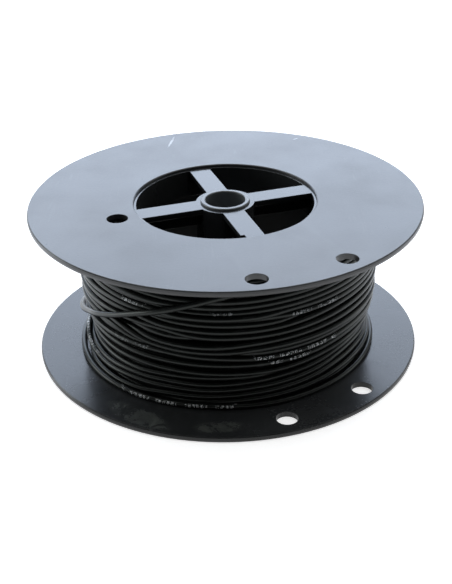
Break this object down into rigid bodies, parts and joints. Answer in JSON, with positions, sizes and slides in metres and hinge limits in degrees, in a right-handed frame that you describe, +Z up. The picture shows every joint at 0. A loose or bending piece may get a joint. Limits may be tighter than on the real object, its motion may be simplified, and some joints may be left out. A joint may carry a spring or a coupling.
{
  "type": "wire spool",
  "caption": "Round wire spool with two flat flanges on a spoked open core with a rod bore, wound with thin black insulated wire; the loose end crosses the winding.",
  "frame": {"origin": "on the spool's axis, in the outer face of the lower flange, on which it stands", "axes": "+Z up along the spool's axis, out of the upper flange; the rim holes of both flanges lie towards -Y"},
  "size_m": [0.165, 0.165, 0.0656],
  "materials": {
    "flange_plastic": "black moulded polystyrene, satin gloss, finely scuffed",
    "core_plastic": "black moulded polystyrene, satin gloss",
    "wire_insulation": "smooth black PVC insulation with a soft sheen",
    "copper": "bare bright copper strands"
  },
  "bodies": {
    "root": {"upper_flange": "flange_plastic", "lower_flange": "flange_plastic", "upper_spider": "core_plastic", "lower_spider": "core_plastic", "barrel_tube": "core_plastic", "arbor_sleeve": "core_plastic", "wire_inner_layers": "wire_insulation", "wire_outer_layer": "wire_insulation", "wire_loose_turn": "wire_insulation", "conductor_strand_ends": "copper"}
  },
  "joints": []
}
